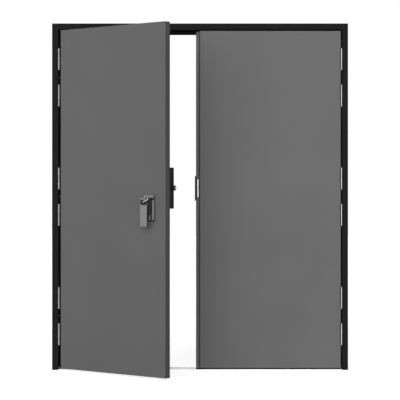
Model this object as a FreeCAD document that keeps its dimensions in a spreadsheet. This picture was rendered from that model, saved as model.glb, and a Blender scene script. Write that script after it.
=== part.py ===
import FreeCAD, Part
import math
import os
import re

import Sketcher

# Driving sizes in millimetres and degrees. X runs along the wall, Y into the building, Z up.
# The origin is on the floor, in the middle of the doorway and of the frame's depth.
SIZES = {
    # pressed steel frame
    "frame_width": 1790,
    "frame_height": 2095,
    "frame_depth": 100,
    "frame_sheet": 2,
    "face_width": 38,
    "rebate_depth": 48,
    "stop_width": 21,
    "frame_bend": 3,
    "return_lip": 12,
    "fixing_radius": 5.5,
    "lowest_fixing": 300,
    "top_fixing_inset": 295,
    # threshold
    "sill_plate": 4,
    "upstand_height": 8.5,
    "upstand_depth": 16,
    "upstand_slope": 6,
    # leaves
    "leaf_thickness": 42,
    "leaf_sheet": 1.5,
    "leaf_bend": 3,
    "seam_flange": 25,
    "channel_flange": 20,
    "hinge_gap": 5.5,
    "head_gap": 5,
    "leaf_bottom": 9.5,
    "passive_edge": 1,
    "meeting_gap": 6.5,
    "open_angle": 40,
    # hinges
    "pin_proud": 9,
    "pin_in_gap": 2,
    "knuckle_radius": 6.25,
    "pin_radius": 3.5,
    "pin_clearance": 0.05,
    "pin_end_gap": 1,
    "pin_cover": 6,
    "hinge_length": 129.5,
    "knuckle_gap": 0.5,
    "hinge_plate": 2,
    "plate_reach": 32,
    "plate_relief": 1,
    "bottom_group_inset": 317,
    "top_group_inset": 283.5,
    "hinge_spread": 110,
    # dog bolts and their slots in the frame
    "dog_radius": 6,
    "dog_length": 20,
    "dog_clearance": 2,
    "dog_swing": 6,
    # outside handle
    "handle_setback": 115,
    "hub_height": 1021,
    "plate_width": 76,
    "plate_height": 149.5,
    "plate_drop": 112,
    "plate_thickness": 8,
    "plate_corner": 6,
    "plate_chamfer": 1.5,
    "boss_width": 46,
    "boss_proud": 9,
    "boss_inset": 3,
    "hood_height": 16,
    "hood_proud": 5,
    "hood_inset": 2,
    "spindle_radius": 8,
    "spindle_length": 15,
    "spindle_clearance": 0.05,
    "neck_gap": 1,
    "neck_radius": 25,
    "neck_upper_drop": 8,
    "neck_lower_drop": 58,
    "neck_length": 31.5,
    "lever_thickness": 9,
    "lever_width": 52.5,
    "lever_rise": 20.5,
    "lever_drop": 146,
    "lever_shoulder": 11,
    "lever_corner": 4,
    "lever_chamfer": 1.5,
    "rose_radius": 20,
    "rose_recess": 2,
    "rose_proud": 3,
    "cylinder_radius": 11.5,
    "cylinder_proud": 2,
    "rose_clearance": 0.05,
    # latch on the inside
    "latch_height": 1098,
    "case_setback": 30.5,
    "case_width": 72,
    "case_height": 237.5,
    "case_depth": 71.5,
    "case_round": 6,
    "bolt_height": 29,
    "bolt_thickness": 15.5,
    "bolt_wall": 2,
    "bolt_throw": 22.5,
    "bolt_inside": 41,
    "bolt_nose": 11,
    "bolt_bevel": 8,
    "bolt_clearance": 0.5,
    "bolt_travel": 22,
    "pad_width": 46,
    "pad_height": 130,
    "pad_thickness": 8,
    "pad_chamfer": 3,
    # shoot bolts on the inside of the passive leaf, drawn back
    "shoot_setback": 85,
    "shoot_plate_width": 36,
    "shoot_plate_length": 220,
    "shoot_plate_thickness": 3,
    "shoot_plate_gap": 12,
    "shoot_rod_size": 12,
    "shoot_rod_length": 250,
    "shoot_standoff": 10,
    "shoot_end_gap": 8,
    "shoot_guide_height": 24,
    "shoot_guide_inset": 10,
    "shoot_guide_wall": 4,
    "shoot_clearance": 0.3,
    "shoot_knob_size": 10,
    "shoot_knob_length": 22,
    "keep_clearance": 2,
    "keep_depth": 10,
    # meeting lip and strike on the passive leaf
    "lip_sheet": 2,
    "lip_base": 30,
    "lip_fold": 6,
    "lip_offset": 6,
    "lip_reach": 23,
    "lip_base_setback": 10,
    "lip_end_gap": 5,
    "strike_height": 149.5,
    "strike_clearance": 0.05,
    "strike_front": 5,
    "strike_front_reach": 26.4,
    "strike_rear_reach": 31,
    "strike_to_bolt": 1,
    "strike_flange": 39,
    "strike_flange_thickness": 8,
    "strike_neck": 14,
    "strike_rear_setback": 7,
    "insert_reach": 5,
    "insert_width": 12.2,
    "insert_margin": 21,
    "insert_thickness": 2,
    "insert_proud": 0.5,
}

# Places worked out from the driving sizes.
DERIVED = {
    "half_width": "frame_width / 2",
    "opening_half": "half_width - face_width",
    "clear_half": "opening_half - stop_width",
    "section": "face_width + stop_width",
    "front": "-frame_depth / 2",
    "back": "frame_depth / 2",
    "stop_face": "front + rebate_depth",
    "leaf_top": "frame_height - face_width - head_gap",
    "leaf_height": "leaf_top - leaf_bottom",
    "pin_x": "opening_half - pin_in_gap",
    "pin_y": "front - pin_proud",
    # distances from a leaf's pin axis: along the leaf, then behind the pin
    "hinge_edge": "hinge_gap - pin_in_gap",
    "active_edge": "pin_x - passive_edge - meeting_gap",
    "passive_leading": "pin_x + passive_edge",
    "face": "pin_proud",
    "inside": "pin_proud + leaf_thickness",
    "mid_leaf": "pin_proud + leaf_thickness / 2",
    "plate_end": "pin_proud + plate_reach",
    "knuckle_relief": "knuckle_radius + plate_relief",
    "bottom_group": "leaf_bottom + bottom_group_inset",
    "top_group": "leaf_top - top_group_inset",
    "middle_group": "(bottom_group + top_group) / 2",
    "half_knuckle": "(hinge_length - knuckle_gap) / 2",
    "pin_length": "half_knuckle + knuckle_gap - pin_cover",
    "handle_place": "active_edge - handle_setback",
    "plate_front": "face - plate_thickness",
    "boss_front": "plate_front - boss_proud",
    "neck_back": "boss_front - neck_gap",
    "lever_back": "neck_back - neck_length",
    "lever_front": "lever_back - lever_thickness",
    "rose_front": "lever_front - rose_proud",
    "case_end": "active_edge - case_setback",
    "case_back": "inside + case_depth",
    "bolt_back": "case_back - bolt_wall",
    "bolt_front": "bolt_back - bolt_thickness",
    "bolt_tip": "case_end + bolt_throw",
    "bolt_root": "case_end - bolt_inside",
    "case_bottom": "latch_height - case_height / 2",
    "bolt_bottom": "latch_height - bolt_height / 2",
    "head_soffit": "frame_height - section",
    "upstand_top": "sill_plate + upstand_height",
    "lip_bottom": "upstand_top + lip_end_gap",
    "lip_top": "head_soffit - lip_end_gap",
    "strike_bottom": "latch_height - strike_height / 2",
    "shoot_place": "passive_leading - shoot_setback",
    "shoot_plate_back": "inside + shoot_plate_thickness",
    "rod_front": "shoot_plate_back + shoot_standoff",
    "rod_back": "rod_front + shoot_rod_size",
    "lip_start": "passive_leading - lip_base_setback - lip_base",
    "lip_front": "inside + lip_offset",
    "lip_cut_bottom": "strike_bottom - strike_clearance",
    "lip_cut_height": "strike_height + 2 * strike_clearance",
    "strike_face": "inside + strike_front",
    "strike_rear": "bolt_front - strike_to_bolt",
    "insert_place": "passive_leading + insert_reach",
}

SIDES = {"left": -1, "right": 1}
LEVELS = ("bottom", "middle", "top")
FIXINGS = 4
UP = FreeCAD.Vector(0, 0, 1)
TOUCH = 1e-4

doc = FreeCAD.newDocument("SteelUtilityDoor")
sheet = doc.addObject("Spreadsheet::Sheet", "Sizes")
for row, (alias, number) in enumerate(SIZES.items(), start=1):
    sheet.set(f"A{row}", alias)
    sheet.set(f"B{row}", str(number))
    sheet.setAlias(f"B{row}", alias)
doc.recompute()


def bound(text):
    """The same formula with every name replaced by its cell, or by the formula it stands for."""

    def swap(match):
        word = match.group()
        if word in DERIVED:
            return f"({bound(DERIVED[word])})"
        return f"Sizes.{word}" if word in SIZES else word

    return re.sub(r"[A-Za-z_]\w*", swap, text)


def value(text):
    """Present value of a formula in the sheet's names."""
    return float(sheet.evalExpression(bound(text)))


def new_body(label):
    body = doc.addObject("PartDesign::Body", label)
    body.Label = label
    return body


def sketch(body, role, offset):
    """A sketch on one of the body's own planes, moved along the plane's normal."""
    plane = next(item for item in body.Origin.OriginFeatures if item.Role == role)
    drawing = body.newObject("Sketcher::SketchObject", f"{body.Label}_outline")
    drawing.AttachmentSupport = [(plane, "")]
    drawing.MapMode = "FlatFace"
    drawing.setExpression("AttachmentOffset.Base.z", bound(offset))
    return drawing


def rule(drawing, *terms):
    return drawing.addConstraint(Sketcher.Constraint(*terms))


def sized(drawing, text, *terms):
    """A constraint whose value follows a formula."""
    number = rule(drawing, *terms, value(text))
    drawing.setExpression(f"Constraints[{number}]", bound(text))


def pin_down(drawing, geometry, point, across, along):
    """Ties one point of a sketch to its two distances from the sketch's origin."""
    sized(drawing, across, "DistanceX", -1, 1, geometry, point)
    sized(drawing, along, "DistanceY", -1, 1, geometry, point)


def spot(across, along):
    return FreeCAD.Vector(value(across), value(along), 0)


def polygon(drawing, points):
    corners = [spot(across, along) for across, along in points]
    first = drawing.GeometryCount
    count = len(points)
    for index in range(count):
        drawing.addGeometry(Part.LineSegment(corners[index], corners[(index + 1) % count]))
    for index in range(count):
        rule(drawing, "Coincident", first + index, 2, first + (index + 1) % count, 1)
    for index, (across, along) in enumerate(points):
        pin_down(drawing, first + index, 1, across, along)


def rectangle(drawing, left, bottom, right, top):
    polygon(drawing, [(left, bottom), (right, bottom), (right, top), (left, top)])


def circle(drawing, across, along, radius):
    ring = Part.Circle(spot(across, along), UP, value(radius))
    geometry = drawing.addGeometry(ring)
    pin_down(drawing, geometry, 3, across, along)
    sized(drawing, radius, "Radius", geometry)


def half_round(drawing, across, along, radius, start):
    """A half circle about a tied centre, from its start angle anticlockwise."""
    ring = Part.Circle(spot(across, along), UP, value(radius))
    geometry = drawing.addGeometry(Part.ArcOfCircle(ring, start, start + math.pi))
    pin_down(drawing, geometry, 3, across, along)
    sized(drawing, radius, "Radius", geometry)
    return geometry


def upright_slot(drawing, across, low, high, radius):
    """Two half circles, one above the other, joined by tangent sides."""
    top = half_round(drawing, across, high, radius, 0)
    bottom = half_round(drawing, across, low, radius, math.pi)
    left, right = f"{across} - {radius}", f"{across} + {radius}"
    down = drawing.addGeometry(Part.LineSegment(spot(left, high), spot(left, low)))
    up = drawing.addGeometry(Part.LineSegment(spot(right, low), spot(right, high)))
    for first, second in ((top, down), (down, bottom), (bottom, up), (up, top)):
        rule(drawing, "Tangent", first, 2, second, 1)


def extrude(body, drawing, kind, length, reverse):
    feature = body.newObject(f"PartDesign::{kind}", f"{body.Label}_{kind}")
    feature.Profile = drawing
    feature.setExpression("Length", bound(length))
    feature.Reversed = reverse


def pad(body, drawing, length, reverse=False):
    extrude(body, drawing, "Pad", length, reverse)


def pocket(body, drawing, depth, reverse=False):
    extrude(body, drawing, "Pocket", depth, reverse)


def soften(body, kind, size, chosen):
    """Rounds or chamfers the edges of the body's tip that a test picks out."""
    doc.recompute()
    tip = body.Tip
    names = [f"Edge{index}" for index, edge in enumerate(tip.Shape.Edges, start=1) if chosen(edge)]
    feature = body.newObject(f"PartDesign::{kind}", f"{body.Label}_{kind}")
    feature.Base = (tip, names)
    feature.setExpression("Radius" if kind == "Fillet" else "Size", bound(size))


def at(edge, axis, text):
    """True where the whole edge lies at one place on an axis."""
    box = edge.BoundBox
    low, high = getattr(box, f"{axis}Min"), getattr(box, f"{axis}Max")
    return abs(low - value(text)) < TOUCH and abs(high - value(text)) < TOUCH


def in_line(edge, axis, points):
    """True for an edge along an axis that passes through one of the points of the plane across it."""
    first, second = [name for name in "XYZ" if name != axis]
    return any(at(edge, first, one) and at(edge, second, two) for one, two in points)


def mirrored(side, text):
    """Distance along the wall, on the left or right side of the doorway."""
    return f"{SIDES[side]} * ({text})"


def along_leaf(side, text):
    """Distance from a leaf's pin towards its meeting edge, along the body's X axis."""
    return f"{-SIDES[side]} * ({text})"


def set_on_pin(body, side, turned):
    """Places a piece drawn about the pin axis at its leaf's hinge, turned with the leaf."""
    body.Placement = FreeCAD.Placement(FreeCAD.Vector(), FreeCAD.Rotation(-UP, 1))
    body.setExpression("Placement.Base.x", bound(mirrored(side, "pin_x")))
    body.setExpression("Placement.Base.y", bound("pin_y"))
    body.setExpression("Placement.Rotation.Angle", bound("open_angle" if turned else "0"))


def frame_member(body, role, start, length, lay):
    """A bent strip of sheet in the frame's section. Its points are distances inwards from the
    frame's outer edge and places in the frame's depth, which lay turns into sketch points."""
    inner = "section - frame_sheet"
    reveal = "face_width - frame_sheet"
    visible = [("0", "front"), ("face_width", "front"), ("face_width", "stop_face"),
               ("section", "stop_face"), ("section", "back"), ("0", "back")]
    hidden = [("frame_sheet", "back - frame_sheet"), (inner, "back - frame_sheet"),
              (inner, "stop_face + frame_sheet"), (reveal, "stop_face + frame_sheet"),
              (reveal, "front + frame_sheet"), ("frame_sheet", "front + frame_sheet")]
    front_lip, back_lip = "front + return_lip", "back - return_lip"
    outline = [("0", front_lip), *visible, ("0", back_lip)]
    outline += [("frame_sheet", back_lip), *hidden, ("frame_sheet", front_lip)]
    section = sketch(body, role, start)
    polygon(section, [lay(*point) for point in outline])
    pad(body, section, length)
    axis = "Z" if role == "XY_Plane" else "X"
    bends = [lay(*point) for point in visible if point != ("face_width", "stop_face")]
    soften(body, "Fillet", "frame_bend", lambda edge: in_line(edge, axis, bends))


def jamb(side):
    body = new_body(f"{side}_jamb")

    def lay(inwards, depth):
        return mirrored(side, f"half_width - ({inwards})"), depth

    frame_member(body, "XY_Plane", "0", "frame_height", lay)

    mitre = sketch(body, "XZ_Plane", "-front")
    outer, inner = mirrored(side, "half_width"), mirrored(side, "clear_half")
    polygon(mitre, [(outer, "frame_height"), (inner, "head_soffit"), (inner, "frame_height")])
    pocket(body, mitre, "frame_depth")

    slots = sketch(body, "YZ_Plane", mirrored(side, "opening_half"))
    near = "pin_y + mid_leaf - dog_radius - dog_clearance"
    far = "pin_y + mid_leaf + dog_radius + dog_clearance + dog_swing"
    for level in LEVELS:
        low = f"{level}_group - dog_radius - dog_clearance"
        rectangle(slots, near, low, far, f"{level}_group + dog_radius + dog_clearance")
    pocket(body, slots, "frame_sheet", reverse=SIDES[side] > 0)

    holes = sketch(body, "YZ_Plane", mirrored(side, "clear_half"))
    for index in range(FIXINGS):
        rise = f"(frame_height - top_fixing_inset - lowest_fixing) * {index} / {FIXINGS - 1}"
        circle(holes, "(stop_face + back) / 2", f"lowest_fixing + {rise}", "fixing_radius")
    pocket(body, holes, "frame_sheet", reverse=SIDES[side] > 0)


def keep(body, height, depth, reverse):
    """A square socket in the frame over or under a shoot bolt of the passive leaf."""
    opening = sketch(body, "XY_Plane", height)
    middle = "pin_x - shoot_place"
    reach = "shoot_rod_size / 2 + keep_clearance"
    rectangle(opening, f"{middle} - ({reach})", "pin_y + rod_front - keep_clearance",
              f"{middle} + {reach}", "pin_y + rod_back + keep_clearance")
    pocket(body, opening, depth, reverse)


def head():
    body = new_body("head")

    def lay(inwards, depth):
        return depth, f"frame_height - ({inwards})"

    frame_member(body, "YZ_Plane", "-half_width", "frame_width", lay)
    mitres = sketch(body, "XZ_Plane", "-front")
    for side in SIDES:
        outer, inner = mirrored(side, "half_width"), mirrored(side, "clear_half")
        polygon(mitres, [(outer, "frame_height"), (inner, "head_soffit"), (outer, "head_soffit")])
    pocket(body, mitres, "frame_depth")
    keep(body, "head_soffit", "frame_sheet", reverse=True)


def threshold():
    body = new_body("threshold")
    plan = sketch(body, "XY_Plane", "0")
    polygon(plan, [
        ("-opening_half", "front"),
        ("opening_half", "front"),
        ("opening_half", "stop_face"),
        ("clear_half", "stop_face"),
        ("clear_half", "back"),
        ("-clear_half", "back"),
        ("-clear_half", "stop_face"),
        ("-opening_half", "stop_face"),
    ])
    pad(body, plan, "sill_plate")
    rise = sketch(body, "YZ_Plane", "-clear_half")
    polygon(rise, [
        ("stop_face", "sill_plate"),
        ("stop_face + upstand_depth + upstand_slope", "sill_plate"),
        ("stop_face + upstand_depth", "upstand_top"),
        ("stop_face", "upstand_top"),
    ])
    pad(body, rise, "2 * clear_half")
    keep(body, "upstand_top", "keep_depth", reverse=False)


def hinge_flaps(side, level, owner):
    """Two lift-off hinge halves of one group. The frame's carry the lower knuckles and the pins,
    the leaf's carry the upper knuckles that turn on them."""
    on_frame = owner == "frame"
    body = new_body(f"{side}_{level}_hinge_{owner}_flaps")
    if on_frame:
        faces = ("-pin_in_gap", "hinge_plate - pin_in_gap")
    else:
        faces = ("hinge_edge - hinge_plate", "hinge_edge")
    plates = sketch(body, "YZ_Plane", min([along_leaf(side, face) for face in faces], key=value))
    starts = [f"{level}_group + {way} * hinge_spread - hinge_length / 2" for way in (-1, 1)]
    for low in starts:
        high = f"{low} + hinge_length"
        if on_frame:
            end, split = low, f"{low} + half_knuckle"
            free = high
        else:
            end, split = high, f"{high} - half_knuckle"
            free = low
        polygon(plates, [
            ("0", end),
            ("plate_end", end),
            ("plate_end", free),
            ("knuckle_relief", free),
            ("knuckle_relief", split),
            ("0", split),
        ])
    pad(body, plates, "hinge_plate")
    for low in starts:
        barrel_low = low if on_frame else f"{low} + half_knuckle + knuckle_gap"
        barrel = sketch(body, "XY_Plane", barrel_low)
        circle(barrel, "0", "0", "knuckle_radius")
        pad(body, barrel, "half_knuckle")
        if on_frame:
            pin = sketch(body, "XY_Plane", f"{low} + half_knuckle")
            circle(pin, "0", "0", "pin_radius")
            pad(body, pin, "pin_length")
        else:
            bore = sketch(body, "XY_Plane", barrel_low)
            circle(bore, "0", "0", "pin_radius + pin_clearance")
            pocket(body, bore, "half_knuckle - pin_cover + pin_end_gap", reverse=True)
    set_on_pin(body, side, turned=not on_frame and side == "left")


def leaf(name, side, leading):
    """Outer tray, nested inner tray and the closing channels of one hollow leaf."""
    turned = name == "active"

    def tray_points(margin, rim):
        """A tray's plan: its rim behind, its returns inside the leaf's edges by a margin."""
        low, high = f"hinge_edge + {margin}", f"{leading} - ({margin})"
        far = "face" if margin == "0" else "inside"
        near = "face + leaf_sheet" if margin == "0" else "inside - leaf_sheet"
        points = [(low, rim), (low, far), (high, far), (high, rim),
                  (f"{high} - leaf_sheet", rim), (f"{high} - leaf_sheet", near),
                  (f"{low} + leaf_sheet", near), (f"{low} + leaf_sheet", rim)]
        return [(along_leaf(side, across), depth) for across, depth in points]

    outer = new_body(f"{name}_outer_skin")
    plan = sketch(outer, "XY_Plane", "leaf_bottom")
    corners = tray_points("0", "inside")
    polygon(plan, corners)
    pad(outer, plan, "leaf_height")
    soften(outer, "Fillet", "leaf_bend", lambda edge: in_line(edge, "Z", corners[1:3]))
    soften(outer, "Fillet", "leaf_bend - leaf_sheet", lambda edge: in_line(edge, "Z", corners[5:7]))
    set_on_pin(outer, side, turned)

    inner = new_body(f"{name}_inner_skin")
    plan = sketch(inner, "XY_Plane", "leaf_bottom")
    polygon(plan, tray_points("leaf_sheet", "inside - seam_flange"))
    pad(inner, plan, "leaf_height")
    set_on_pin(inner, side, turned)

    ends = [along_leaf(side, end) for end in ("hinge_edge + 2 * leaf_sheet", f"{leading} - 2 * leaf_sheet")]
    for label, web, way in (("bottom", "leaf_bottom", 1), ("top", "leaf_top", -1)):
        channel = new_body(f"{name}_{label}_channel")
        section = sketch(channel, "YZ_Plane", min(ends, key=value))
        flange, floor = f"{web} + {way} * channel_flange", f"{web} + {way} * leaf_sheet"
        polygon(section, [
            ("face + leaf_sheet", web),
            ("inside - leaf_sheet", web),
            ("inside - leaf_sheet", flange),
            ("inside - 2 * leaf_sheet", flange),
            ("inside - 2 * leaf_sheet", floor),
            ("face + 2 * leaf_sheet", floor),
            ("face + 2 * leaf_sheet", flange),
            ("face + leaf_sheet", flange),
        ])
        pad(channel, section, f"{leading} - hinge_edge - 4 * leaf_sheet")
        set_on_pin(channel, side, turned)


def dog_bolts(name, side):
    body = new_body(f"{name}_dog_bolts")
    tip = along_leaf(side, "hinge_edge - dog_length")
    root = along_leaf(side, "hinge_edge")
    start = sketch(body, "YZ_Plane", min(tip, root, key=value))
    for level in LEVELS:
        circle(start, "mid_leaf", f"{level}_group", "dog_radius")
    pad(body, start, "dog_length")
    set_on_pin(body, side, turned=name == "active")


def handle_backplate():
    body = new_body("handle_backplate")
    plate = sketch(body, "XZ_Plane", "-face")
    left, right = "handle_place - plate_width / 2", "handle_place + plate_width / 2"
    bottom, top = "hub_height - plate_drop", "hub_height - plate_drop + plate_height"
    rectangle(plate, left, bottom, right, top)
    pad(body, plate, "plate_thickness")
    corners = [(across, height) for across in (left, right) for height in (bottom, top)]
    soften(body, "Fillet", "plate_corner", lambda edge: in_line(edge, "Y", corners))
    soften(body, "Chamfer", "plate_chamfer", lambda edge: at(edge, "Y", "plate_front"))
    boss = sketch(body, "XZ_Plane", "-plate_front")
    rectangle(boss, "handle_place - boss_width / 2", f"{bottom} + boss_inset",
              "handle_place + boss_width / 2", f"{top} - hood_height")
    pad(body, boss, "boss_proud")
    hood = sketch(body, "XZ_Plane", "-plate_front")
    rectangle(hood, f"{left} + hood_inset", f"{top} - hood_height",
              f"{right} - hood_inset", f"{top} - hood_inset")
    pad(body, hood, "hood_proud")
    bore = sketch(body, "XZ_Plane", "-boss_front")
    circle(bore, "handle_place", "hub_height", "spindle_radius + spindle_clearance")
    pocket(body, bore, "boss_proud + plate_thickness")
    set_on_pin(body, "left", turned=True)


def lever_neck():
    body = new_body("lever_neck")
    stem = sketch(body, "XZ_Plane", "-neck_back")
    upright_slot(stem, "handle_place", "hub_height - neck_lower_drop",
                 "hub_height - neck_upper_drop", "neck_radius")
    pad(body, stem, "neck_length")
    spindle = sketch(body, "XZ_Plane", "-neck_back")
    circle(spindle, "handle_place", "hub_height", "spindle_radius")
    pad(body, spindle, "neck_gap + spindle_length", reverse=True)
    set_on_pin(body, "left", turned=True)


def lever():
    body = new_body("lever")
    grip = sketch(body, "XZ_Plane", "-lever_back")
    left, right = "handle_place - lever_width / 2", "handle_place + lever_width / 2"
    tip, crown = "hub_height - lever_drop", "hub_height + lever_rise"
    rectangle(grip, left, tip, right, crown)
    pad(body, grip, "lever_thickness")
    soften(body, "Fillet", "lever_shoulder", lambda edge: in_line(edge, "Y", [(left, crown), (right, crown)]))
    soften(body, "Fillet", "lever_corner", lambda edge: in_line(edge, "Y", [(left, tip), (right, tip)]))
    soften(body, "Chamfer", "lever_chamfer", lambda edge: at(edge, "Y", "lever_front"))
    seat = sketch(body, "XZ_Plane", "-lever_front")
    circle(seat, "handle_place", "hub_height", "rose_radius + rose_clearance")
    pocket(body, seat, "rose_recess")
    set_on_pin(body, "left", turned=True)


def lever_rose():
    body = new_body("lever_rose")
    disc = sketch(body, "XZ_Plane", "-rose_front")
    circle(disc, "handle_place", "hub_height", "rose_radius")
    pad(body, disc, "rose_proud + rose_recess", reverse=True)
    set_on_pin(body, "left", turned=True)


def key_cylinder():
    body = new_body("key_cylinder")
    barrel = sketch(body, "XZ_Plane", "cylinder_proud - rose_front")
    circle(barrel, "handle_place", "hub_height", "cylinder_radius")
    pad(body, barrel, "cylinder_proud", reverse=True)
    set_on_pin(body, "left", turned=True)


def latch_case():
    body = new_body("latch_case")
    housing = sketch(body, "XZ_Plane", "-inside")
    rectangle(housing, "case_end - case_width", "case_bottom", "case_end", "case_bottom + case_height")
    pad(body, housing, "case_depth", reverse=True)
    soften(body, "Fillet", "case_round",
           lambda edge: at(edge, "Y", "case_back") and not at(edge, "X", "case_end"))
    mouth = sketch(body, "YZ_Plane", "case_end")
    rectangle(mouth, "bolt_front - bolt_clearance", "bolt_bottom - bolt_clearance",
              "bolt_back + bolt_clearance", "bolt_bottom + bolt_height + bolt_clearance")
    pocket(body, mouth, "bolt_inside + bolt_travel + bolt_clearance")
    set_on_pin(body, "left", turned=True)


def push_pad():
    body = new_body("push_pad")
    outline = sketch(body, "XZ_Plane", "-case_back")
    middle = "case_end - case_width / 2"
    rectangle(outline, f"{middle} - pad_width / 2", "latch_height - pad_height / 2",
              f"{middle} + pad_width / 2", "latch_height + pad_height / 2")
    pad(body, outline, "pad_thickness", reverse=True)
    soften(body, "Chamfer", "pad_chamfer", lambda edge: at(edge, "Y", "case_back + pad_thickness"))
    set_on_pin(body, "left", turned=True)


def latch_bolt():
    body = new_body("latch_bolt")
    plan = sketch(body, "XY_Plane", "bolt_bottom")
    polygon(plan, [
        ("bolt_root", "bolt_front"),
        ("bolt_tip", "bolt_front"),
        ("bolt_tip", "bolt_front + bolt_nose"),
        ("bolt_tip - bolt_bevel", "bolt_back"),
        ("bolt_root", "bolt_back"),
    ])
    pad(body, plan, "bolt_height")
    set_on_pin(body, "left", turned=True)


def on_passive(points):
    return [(along_leaf("right", across), depth) for across, depth in points]


def meeting_lip():
    body = new_body("meeting_lip")
    base_end = "lip_start + lip_base"
    reach = "passive_leading + lip_reach"
    section = sketch(body, "XY_Plane", "lip_bottom")
    polygon(section, on_passive([
        ("lip_start", "inside"),
        (base_end, "inside"),
        (f"{base_end} + lip_fold", "lip_front"),
        (reach, "lip_front"),
        (reach, "lip_front + lip_sheet"),
        (f"{base_end} + lip_fold - lip_sheet / 2", "lip_front + lip_sheet"),
        (f"{base_end} - lip_sheet / 2", "inside + lip_sheet"),
        ("lip_start", "inside + lip_sheet"),
    ]))
    pad(body, section, "lip_top - lip_bottom")
    gap = sketch(body, "XZ_Plane", "-inside")
    rectangle(gap, along_leaf("right", reach), "lip_cut_bottom",
              along_leaf("right", "lip_start"), "lip_cut_bottom + lip_cut_height")
    pocket(body, gap, "lip_offset + lip_sheet")
    set_on_pin(body, "right", turned=False)


def strike_window(body, offset):
    """The bright insert's outline on the strike's face."""
    drawing = sketch(body, "XZ_Plane", offset)
    rectangle(drawing, along_leaf("right", "insert_place + insert_width"), "strike_bottom + insert_margin",
              along_leaf("right", "insert_place"), "strike_bottom + strike_height - insert_margin")
    return drawing


def strike_body():
    body = new_body("strike_body")
    flange_root = "passive_leading - strike_flange - lip_base_setback / 2"
    flange_back = "inside + strike_flange_thickness"
    shoulder = "passive_leading - strike_rear_setback"
    plan = sketch(body, "XY_Plane", "strike_bottom")
    polygon(plan, on_passive([
        (flange_root, "inside"),
        ("passive_leading - leaf_bend", "inside"),
        ("passive_leading - leaf_bend", "strike_face"),
        ("passive_leading + strike_front_reach", "strike_face"),
        ("passive_leading + strike_rear_reach", "strike_rear"),
        (shoulder, "strike_rear"),
        (f"{shoulder} - strike_neck", flange_back),
        (flange_root, flange_back),
    ]))
    pad(body, plan, "strike_height")
    pocket(body, strike_window(body, "-strike_face"), "insert_thickness - insert_proud")
    set_on_pin(body, "right", turned=False)


def strike_insert():
    body = new_body("strike_insert")
    pad(body, strike_window(body, "insert_proud - strike_face"), "insert_thickness", reverse=True)
    set_on_pin(body, "right", turned=False)


def shoot_bolt(level, limit, way):
    """A surface bolt in its guides. It is drawn back from the frame's keep, whose face is the limit."""
    def up(distance):
        return f"{limit} + {way} * ({distance})"

    middle = along_leaf("right", "shoot_place")

    def block(body, half_width, front, back, start, length):
        heights = sorted((up(start), up(f"{start} + {length}")), key=value)
        plan = sketch(body, "XY_Plane", heights[0])
        rectangle(plan, f"{middle} - ({half_width})", front, f"{middle} + ({half_width})", back)
        pad(body, plan, length)

    case = new_body(f"passive_{level}_bolt_plate")
    block(case, "shoot_plate_width / 2", "inside", "shoot_plate_back", "shoot_plate_gap",
          "shoot_plate_length")
    first = "shoot_plate_gap + shoot_guide_inset"
    last = "shoot_plate_gap + shoot_plate_length - shoot_guide_inset - shoot_guide_height"
    cavity = "shoot_rod_size / 2 + shoot_clearance"
    for start in (first, last):
        block(case, f"{cavity} + shoot_guide_wall", "shoot_plate_back",
              "rod_back + shoot_clearance + shoot_guide_wall", start, "shoot_guide_height")
        heights = sorted((up(start), up(f"{start} + shoot_guide_height")), key=value)
        hole = sketch(case, "XY_Plane", heights[0])
        rectangle(hole, f"{middle} - ({cavity})", "rod_front - shoot_clearance",
                  f"{middle} + ({cavity})", "rod_back + shoot_clearance")
        pocket(case, hole, "shoot_guide_height", reverse=True)
    set_on_pin(case, "right", turned=False)

    rod = new_body(f"passive_{level}_bolt")
    block(rod, "shoot_rod_size / 2", "rod_front", "rod_back", "shoot_end_gap", "shoot_rod_length")
    knob = "shoot_end_gap + shoot_rod_length / 2 - shoot_knob_size / 2"
    block(rod, "shoot_knob_size / 2", "rod_back", "rod_back + shoot_knob_length", knob, "shoot_knob_size")
    set_on_pin(rod, "right", turned=False)


def check_document():
    """Stops before anything is written if a feature failed or a cut took nothing away."""
    for item in doc.Objects:
        if "Invalid" in item.State or "Error" in item.State:
            raise RuntimeError(f"{item.Label} failed")
        if item.TypeId == "PartDesign::Pocket" and item.Shape.Volume >= item.BaseFeature.Shape.Volume - TOUCH:
            raise RuntimeError(f"{item.Label} cuts nothing")


def export_parts():
    os.makedirs("parts", exist_ok=True)
    bodies = [item for item in doc.Objects if item.TypeId == "PartDesign::Body"]
    for body in bodies:
        if body.Shape.isNull() or not body.Shape.isValid():
            raise RuntimeError(f"{body.Label} has no valid shape")
    for body in bodies:
        body.Shape.exportStep(f"parts/{body.Label}.step")
        print(body.Label, len(body.Shape.Solids), round(body.Shape.Volume / 1000, 2), "cm3")


for wall_side in SIDES:
    jamb(wall_side)
    for hinge_level in LEVELS:
        hinge_flaps(wall_side, hinge_level, "frame")
        hinge_flaps(wall_side, hinge_level, "leaf")
head()
threshold()
leaf("active", "left", "active_edge")
leaf("passive", "right", "passive_leading")
dog_bolts("active", "left")
dog_bolts("passive", "right")
handle_backplate()
lever_neck()
lever()
lever_rose()
key_cylinder()
latch_case()
push_pad()
latch_bolt()
meeting_lip()
strike_body()
strike_insert()
shoot_bolt("top", "head_soffit", -1)
shoot_bolt("bottom", "upstand_top", 1)
doc.recompute()
check_document()
export_parts()
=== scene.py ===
import math

import bmesh
import bpy
from mathutils import Matrix, Vector


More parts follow.
